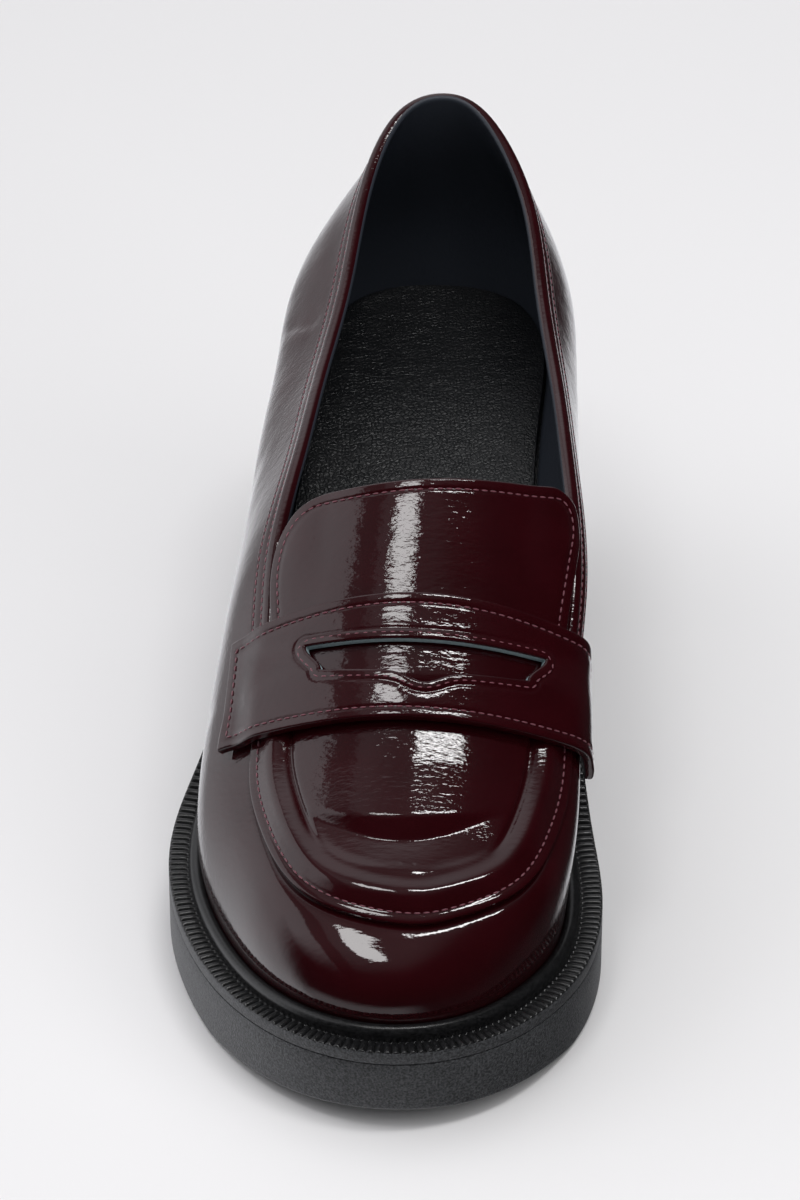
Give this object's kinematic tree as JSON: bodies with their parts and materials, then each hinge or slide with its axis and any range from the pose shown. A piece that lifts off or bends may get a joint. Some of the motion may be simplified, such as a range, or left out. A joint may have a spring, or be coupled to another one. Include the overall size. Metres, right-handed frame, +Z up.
{
  "type": "loafer pump",
  "caption": "Women's loafer pump with a block heel, raised apron, tongue, slotted saddle strap and ribbed welt, open at the collar.",
  "frame": {"origin": "on the floor, under the middle of the shoe's box", "axes": "+Z up, toe towards -Y, +X the medial side, towards the other foot"},
  "size_m": [0.0984, 0.244, 0.122],
  "materials": {
    "patent_leather": "oxblood patent leather, high gloss",
    "sock_leather": "black grained leather, satin",
    "sole_rubber": "moulded black rubber, fine grain",
    "heel_plastic": "black lacquered heel, satin",
    "lift_rubber": "black heel rubber, matte"
  },
  "bodies": {
    "root": {"upper": "patent_leather", "tongue": "patent_leather", "strap": "patent_leather", "insole": "sock_leather", "welt": "sole_rubber", "outsole": "sole_rubber", "heel_block": "heel_plastic", "top_lift": "lift_rubber"}
  },
  "joints": []
}
